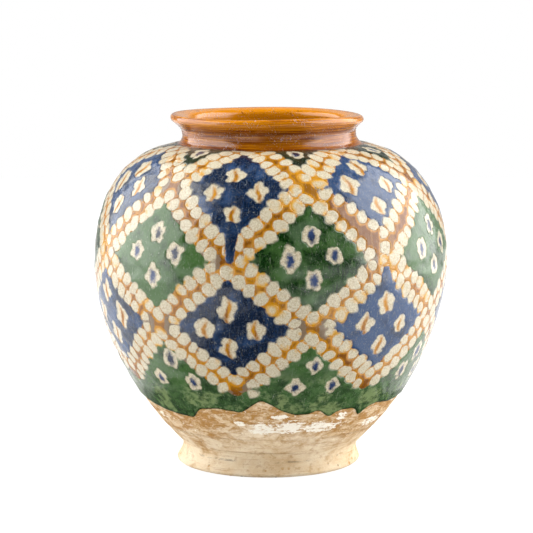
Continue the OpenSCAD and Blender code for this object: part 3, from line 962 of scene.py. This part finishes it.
grid = Grid(steps=COLUMNS * 98, pitch=0.95, low=30.0)
coat = cut_coat(grid, build_fields(grid))
glazes = {slot: glaze_material(slot) for slot in ("amber_glaze", "blue_glaze", "green_glaze")}
glazes["white_slip"] = glaze_material("clear_glaze_over_slip")
for name, slot, *node in (
        ("amber_lattice", "amber_glaze", "amber_lattice_glaze"),
        ("blue_shoulder", "blue_glaze", "blue_shoulder_lozenges"),
        ("blue_belly", "blue_glaze", "blue_belly_lozenges"),
        ("green_neck", "green_glaze", "green_neck_lozenges"),
        ("green_middle", "green_glaze", "green_middle_lozenges"),
        ("green_apron", "green_glaze", "green_apron_glaze"), ("reserved_dots_blue", "white_slip"),
        ("reserved_dots_green", "white_slip"), ("reserved_florets", "white_slip")):
    dress(coat[name], glazes[slot], slot, *node)


def foot_loop():
    """The foot's closed outline. Its clay is smoothed up over the luting joint onto the wall."""
    inner_r, inner_z = outline(0, -WALL_LOW)
    tip = outline(5.0, 0.03)
    bow = [(FOOT_R - 0.1, 2.0), (FOOT_R - 1.8, 6.0), (WAIST_R - 2.0, WAIST_Z - 1.0), tip]
    flank = [tuple(v) for v in bezier(bow, np.linspace(0, 1, 14)).T]
    under = [(FLOOR_R + 0.6, 0.0), (FOOT_R - 2.8, 0.0), (FOOT_R - 1.4, 0.3), (FOOT_R - 0.4, 1.1)]
    inside = [(inner_r, inner_z), (inner_r - 2.5, inner_z - 4), (FLOOR_R + 0.6, FLOOR_Z)]
    return dense(under + flank + [(WAIST_R, WAIST_Z)] + inside)


def base_slab():
    """The floor slab, with a throwing spiral inside and the arcs of a cutting wire underneath."""
    steps, rings = 180, ladder(0.5, FLOOR_R, 0.5)
    turn, r = np.meshgrid(np.arange(steps) * 360 / steps, rings, indexing="ij")
    spiral = 0.3 * np.cos(2 * np.pi * (r / 6.5 - turn / 360)) * unit(r / 6) * unit(39 - r)
    x, y, _ = np.moveaxis(around(turn, r, r), -1, 0)
    wire = 0.1 * np.cos(np.hypot(x - 52, y + 18) * 2 * np.pi / 3.1) * unit((38 - r) / 4)
    hubs = (FLOOR_Z - 0.3, RECESS + 0.2)
    places = [np.concatenate([top.ravel(), under.ravel(), middle]) for top, under, middle in (
        (turn, turn, (0, 0)), (r, r, (0, 0)), (FLOOR_Z - 0.3 + spiral, RECESS + 0.1 + wire, hubs))]
    n, half = len(rings), steps * len(rings)
    face = net(steps, n, closed=False)
    k = np.arange(steps) * n
    k2 = np.roll(k, -1)
    rim, rim2 = k + n - 1, k2 + n - 1
    side = np.stack([rim, rim + half, rim2 + half, rim2], -1)
    lid_hub = np.stack([k, k2, np.full(steps, 2 * half)], -1)
    foot_hub = np.stack([k2 + half, k + half, np.full(steps, 2 * half + 1)], -1)
    return mesh_piece("base", footed(*places), np.concatenate([lid_hub, foot_hub]),
                      np.concatenate([face[:, [0, 3, 2, 1]], face[:, [1, 2, 3, 0]] + half, side]),
                      fields={key: f(*places) for key, f in CLAY_FIELDS.items()})


clay = clay_material("buff_clay")
slip = clay_material("white_slip")
inside_clay = clay_material("inside_clay", True)
amber_neck = neck_material("amber_neck_glaze")

SLIP_LOW = 18.0  # lower edge of the slip coat
JOINT_S, JOINT_GAP = 0.96 * BELLY_S, 0.8  # where the wall's two sections meet
seam_r = corner("base_seam_slip", True, X)
seam_loop = dense([(FLOOR_R, RECESS), (seam_r, RECESS), (seam_r, FLOOR_Z), (FLOOR_R, FLOOR_Z)])
slip_loop = band(ladder(SLIP_LOW, TOP_S, 1.5), SLIP - 0.02, 0.02)
clay_neck, glaze_neck, glaze_throat = neck_loops()
on_body, on_foot, on_neck = (strayed, CLAY_FIELDS), (footed, CLAY_FIELDS), (neck_place, NECK_FIELDS)
dress(lathe("slip_coat", slip_loop, *on_body), slip, "white_slip", "white_slip_coat")
dress(lathe("lower_body", wall_loop(0.6, JOINT_S), *on_body), clay, "buff_clay", "lower_wall")
dress(lathe("upper_body", wall_loop(JOINT_S + JOINT_GAP, TOP_S), *on_body), inside_clay, "buff_clay",
      "upper_wall")
dress(lathe("foot", foot_loop(), *on_foot), clay, "buff_clay", "foot_ring")
dress(base_slab(), clay, "buff_clay", "base_disc")
dress(lathe("base_seam", seam_loop, *on_foot), slip, "luting_slip", "base_seam_slip")
dress(lathe("neck_clay", dense(clay_neck), *on_neck), inside_clay, "buff_clay", "neck_collar")
dress(lathe("neck_glaze", dense(glaze_neck, 0.6), *on_neck), amber_neck, "amber_glaze", "amber_neck_glaze")
dress(lathe("throat_glaze", dense(glaze_throat, 0.8), *on_neck), amber_neck, "amber_glaze",
      "amber_mouth_glaze")


def plain_clay(name, colour, dark):
    """Clay for the CAD pieces that stay, patterned by the object's own coordinates."""
    m = new_shade(name)
    place = m.out("ShaderNodeTexCoord", "Object")
    grain = m.noise(place, 1500, 4, 0.7)
    mixed = m.layered(colour, (dark, m.noise(place, 60, 4, 0.6), 0.3, 0.7),
                      (CLAY_STAIN, grain, 0.55, 0.75, 0, 0.5))
    return m.finish(mixed, grain.ramp(0.3, 0.7, 0.75, 0.95), m.bump(grain, 0.0002), CLAY_IOR)


seam_slip = plain_clay("luting_slip", CLAY_PALE, CLAY)
for node in ("foot_seam_slip", "belly_seam_slip", "neck_seam_slip"):
    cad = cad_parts[node]
    cad.data.materials.clear()
    cad.data.materials.append(seam_slip)


# ---- stage, lights and camera

def plate(name, corners, height, material):
    """A flat stage piece."""
    count = len(corners)
    fan = [(k, (k + 1) % count, count) for k in range(count)]
    piece = mesh_piece(name, [(x, y, height) for x, y in (*corners, np.mean(corners, 0))], fan)
    piece.data.materials.append(material)
    return piece


def paint(name, grey, glow):
    """Matt paint that glows a little."""
    m = new_shade(name)
    cloud = m.noise(m.out("ShaderNodeTexCoord", "Object"), 3, 2)
    shade = m.mix(cloud, *(tone(level, level, level) for level in (grey, grey + 4)))
    return m.finish(shade, 0.8, glow=glow)


def stage_floor():
    """The floor that the camera sees, nearly white, over the one that light falls on."""
    turns = np.linspace(0, 2 * np.pi, 97)[:-1]
    rim = FLOOR_REACH * np.stack([np.cos(turns), np.sin(turns)], 1)
    shown = plate("floor", rim, 0.0, paint("floor_white", 130, FLOOR_GLOW))
    shown.visible_diffuse = shown.visible_glossy = shown.visible_shadow = False
    white = paint("table_white", 226, 0.0)
    for name, x0, x1 in (("left_table", -TABLE_REACH, -TABLE_GAP), ("right_table", TABLE_GAP, TABLE_REACH),
                         ("middle_table", -TABLE_GAP, TABLE_GAP)):
        corners = [(x0, -TABLE_REACH), (x1, -TABLE_REACH), (x1, TABLE_REACH), (x0, TABLE_REACH)]
        table = plate(name, corners, -0.0005, white)
        table.visible_camera = False
        table.visible_glossy = name != "middle_table"


def softbox(name, place, size, radiance, mirrored=True):
    """A square lamp that faces the jar. Where mirrored is false, no gloss shows it."""
    data = bpy.data.lights.new(name, "AREA")
    data.size = size
    data.energy = radiance * math.pi * size * size
    lamp = add_object(name, data)
    lamp.location = place
    lamp.rotation_euler = (JAR_MIDDLE - Vector(place)).to_track_quat("-Z", "Y").to_euler()
    lamp.visible_camera = False
    lamp.visible_glossy = mirrored


def studio_world(light, shine_front, shine_back):
    """A white room: white to the camera, soft on matt surfaces, in gloss dim in front and lighter behind."""
    world = bpy.data.worlds.new("studio")
    w = Shade(world)
    _, behind, _ = w.out("ShaderNodeTexCoord", "Generated").parts()
    shine = behind.ramp(0.7, 0.96, shine_front, shine_back, "LINEAR")
    lit = w.out("ShaderNodeLightPath", "Is Glossy Ray").ramp(0, 1, light, shine)
    strength = w.out("ShaderNodeLightPath", "Is Camera Ray").ramp(0, 1, lit, 1.0)
    room = w.out("ShaderNodeBackground", 0, {"Color": (1, 1, 1, 1), "Strength": strength})
    w.node("ShaderNodeOutputWorld", {"Surface": room})
    bpy.context.scene.world = world


JAR_MIDDLE = Vector((0, 0, 0.11))
FLOOR_GLOW, FLOOR_REACH = 0.85, 1.7
TABLE_REACH, TABLE_GAP = 1.2, 0.12  # half sizes of the tables, and of the strip between them
stage_floor()
softbox("left_softbox", (-1.3, 0.15, 0.55), 2.1, 3.4)
softbox("right_softbox", (1.3, 0.15, 0.55), 2.1, 3.8)
softbox("top_softbox", (0, -0.2, 1.7), 1.8, 2.4, mirrored=False)
studio_world(0.08, 0.01, 0.5)
bpy.context.scene.view_settings.view_transform = "Standard"

CAMERA_PLACE, CAMERA_DOWN = (-0.0024, -1.302, 0.3048), 8.18  # metres, and degrees below level
camera_data = bpy.data.cameras.new("camera")
camera_data.lens = 147.2
camera = add_object("camera", camera_data)
camera.location = CAMERA_PLACE
camera.rotation_euler = (math.radians(90 - CAMERA_DOWN), 0, 0)
bpy.context.scene.camera = camera
